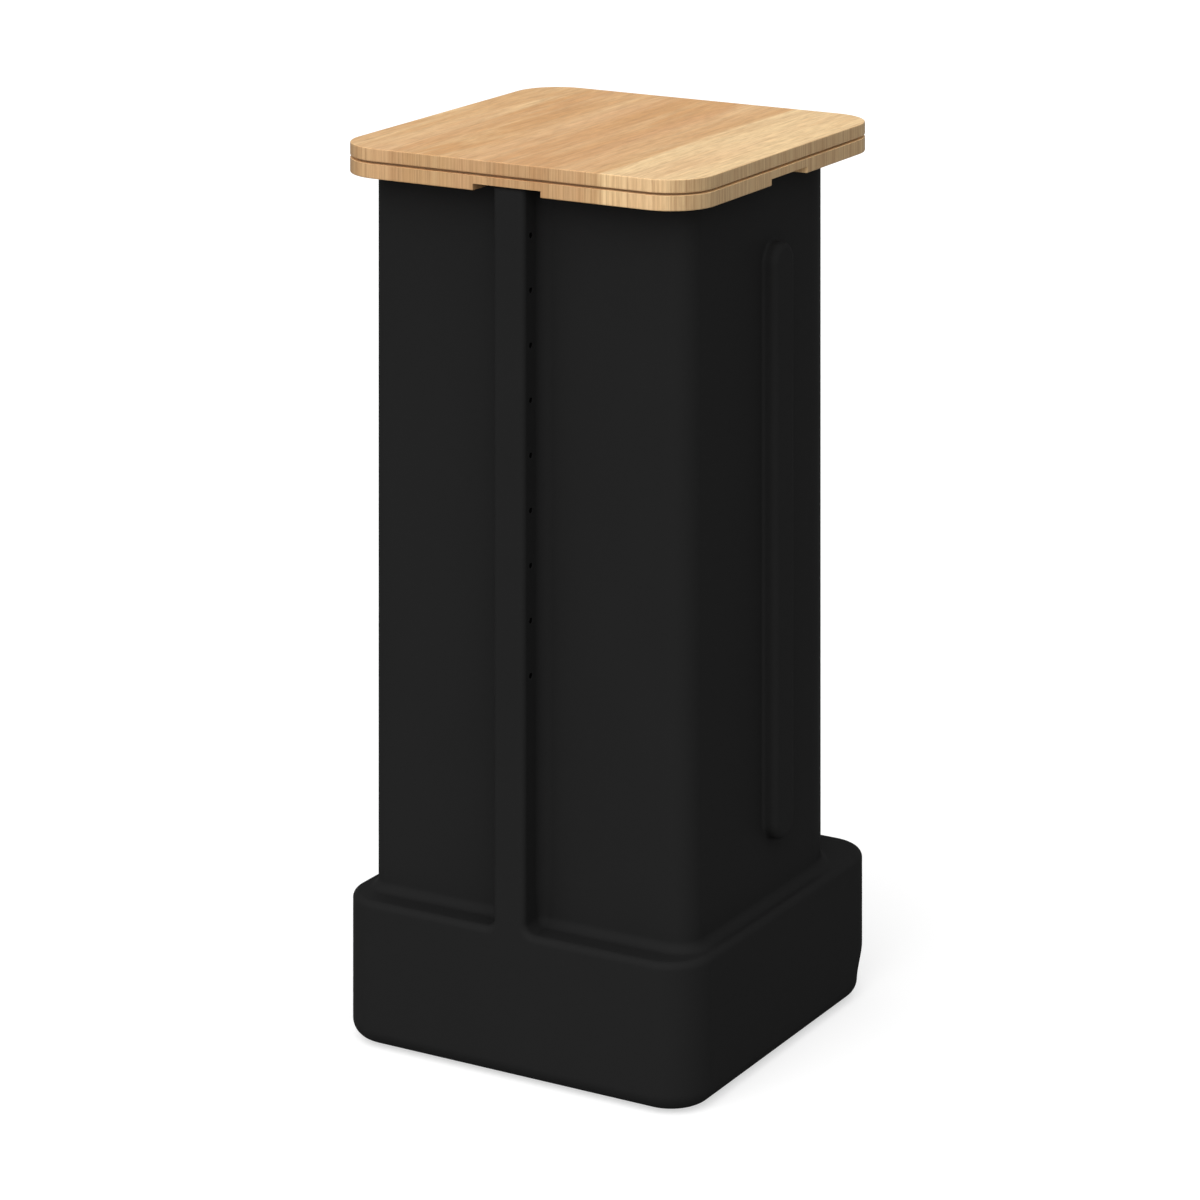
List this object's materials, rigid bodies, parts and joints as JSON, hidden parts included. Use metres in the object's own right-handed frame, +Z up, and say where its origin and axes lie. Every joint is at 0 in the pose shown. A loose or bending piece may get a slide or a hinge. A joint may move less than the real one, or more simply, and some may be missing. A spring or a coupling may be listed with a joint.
{
  "type": "display plinth",
  "caption": "Square black moulded plinth: base block, narrower column with a front fin and side ribs, and a lift-off top of two oak boards with a shadow gap.",
  "frame": {"origin": "middle of the footprint on the floor", "axes": "+Z up; -Y towards the front face that carries the fin; +X towards the ribbed side on the viewer's right when facing the front"},
  "size_m": [0.5, 0.5, 1.095],
  "materials": {
    "oak": "matt lacquer",
    "brown_core": "raw",
    "stained_ply": "black stain",
    "black_plastic": "fine mould grain",
    "concrete": "cast",
    "rubber": "matt",
    "zinc": "zinc plated",
    "brass": "machined"
  },
  "bodies": {
    "plinth_body": {"body_shell": "black_plastic", "ballast_slabs": "concrete", "ballast_bolts": "zinc", "ballast_washers": "zinc", "ballast_inserts": "brass", "rubber_feet": "rubber", "foot_screws": "zinc", "foot_inserts": "brass"},
    "top": {"upper_board": "oak", "gap_spacer": "brown_core", "lower_board": "oak", "board_screws": "zinc", "locating_frame": "stained_ply", "frame_screws": "zinc"}
  },
  "joints": [
    {"name": "top_lift", "type": "slide", "parent": "plinth_body", "child": "top", "axis": [0, 0, 1], "range_m": [0, 0.12]}
  ]
}
